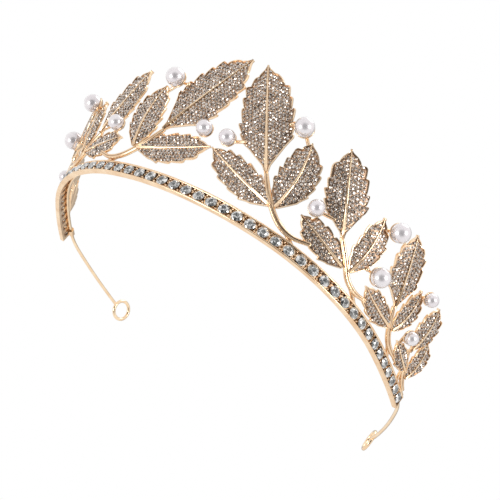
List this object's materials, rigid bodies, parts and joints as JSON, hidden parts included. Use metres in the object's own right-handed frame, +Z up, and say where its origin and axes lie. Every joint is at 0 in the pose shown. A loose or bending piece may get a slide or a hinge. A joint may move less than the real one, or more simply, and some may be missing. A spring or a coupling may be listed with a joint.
{
  "type": "bridal tiara",
  "caption": "Bridal tiara with a crystal-set band on a headband wire, serrated leaf sprigs paved with small stones, and pearls in cups.",
  "frame": {"origin": "middle of the band's outer bottom edge at the front, on the surface that the tiara stands on", "axes": "+Z up, +X to the right of someone facing the tiara, +Y towards the back of the head; the tiara mirrors about X = 0"},
  "size_m": [0.1458, 0.1261, 0.0457],
  "materials": {
    "band_gold": "polished light rose gold plating",
    "wire_gold": "polished light rose gold plated wire",
    "stem_gold": "polished light rose gold plating",
    "leaf_gold": "polished light rose gold plating, slightly darker in the recesses",
    "band_crystal": "clear faceted rhinestone",
    "pave_crystal": "clear small faceted rhinestone",
    "pearl": "white imitation pearl, soft lustre"
  },
  "bodies": {
    "root": {"band": "band_gold", "band_crystals": "band_crystal", "headband_wire": "wire_gold", "left_eye_loop": "wire_gold", "left_wire_tab": "band_gold", "left_front_stem": "stem_gold", "left_front_main_leaf": "leaf_gold", "left_front_inner_leaf": "leaf_gold", "left_front_outer_leaf": "leaf_gold", "left_shoulder_stem": "stem_gold", "left_shoulder_main_leaf": "leaf_gold", "left_shoulder_inner_leaf": "leaf_gold", "left_shoulder_outer_leaf": "leaf_gold", "left_side_stem": "stem_gold", "left_side_main_leaf": "leaf_gold", "left_side_inner_leaf": "leaf_gold", "left_side_outer_leaf": "leaf_gold", "left_end_stem": "stem_gold", "left_end_main_leaf": "leaf_gold", "left_end_inner_leaf": "leaf_gold", "left_end_outer_leaf": "leaf_gold", "left_front_inner_pearl": "pearl", "left_front_outer_pearl": "pearl", "left_shoulder_inner_pearl": "pearl", "left_shoulder_outer_pearl": "pearl", "left_side_inner_pearl": "pearl", "left_side_outer_pearl": "pearl", "left_end_pearl": "pearl", "left_pearl_cups": "leaf_gold", "right_eye_loop": "wire_gold", "right_wire_tab": "band_gold", "right_front_stem": "stem_gold", "right_front_main_leaf": "leaf_gold", "right_front_inner_leaf": "leaf_gold", "right_front_outer_leaf": "leaf_gold", "right_shoulder_stem": "stem_gold", "right_shoulder_main_leaf": "leaf_gold", "right_shoulder_inner_leaf": "leaf_gold", "right_shoulder_outer_leaf": "leaf_gold", "right_side_stem": "stem_gold", "right_side_main_leaf": "leaf_gold", "right_side_inner_leaf": "leaf_gold", "right_side_outer_leaf": "leaf_gold", "right_end_stem": "stem_gold", "right_end_main_leaf": "leaf_gold", "right_end_inner_leaf": "leaf_gold", "right_end_outer_leaf": "leaf_gold", "right_front_inner_pearl": "pearl", "right_front_outer_pearl": "pearl", "right_shoulder_inner_pearl": "pearl", "right_shoulder_outer_pearl": "pearl", "right_side_inner_pearl": "pearl", "right_side_outer_pearl": "pearl", "right_end_pearl": "pearl", "right_pearl_cups": "leaf_gold"}
  },
  "joints": []
}
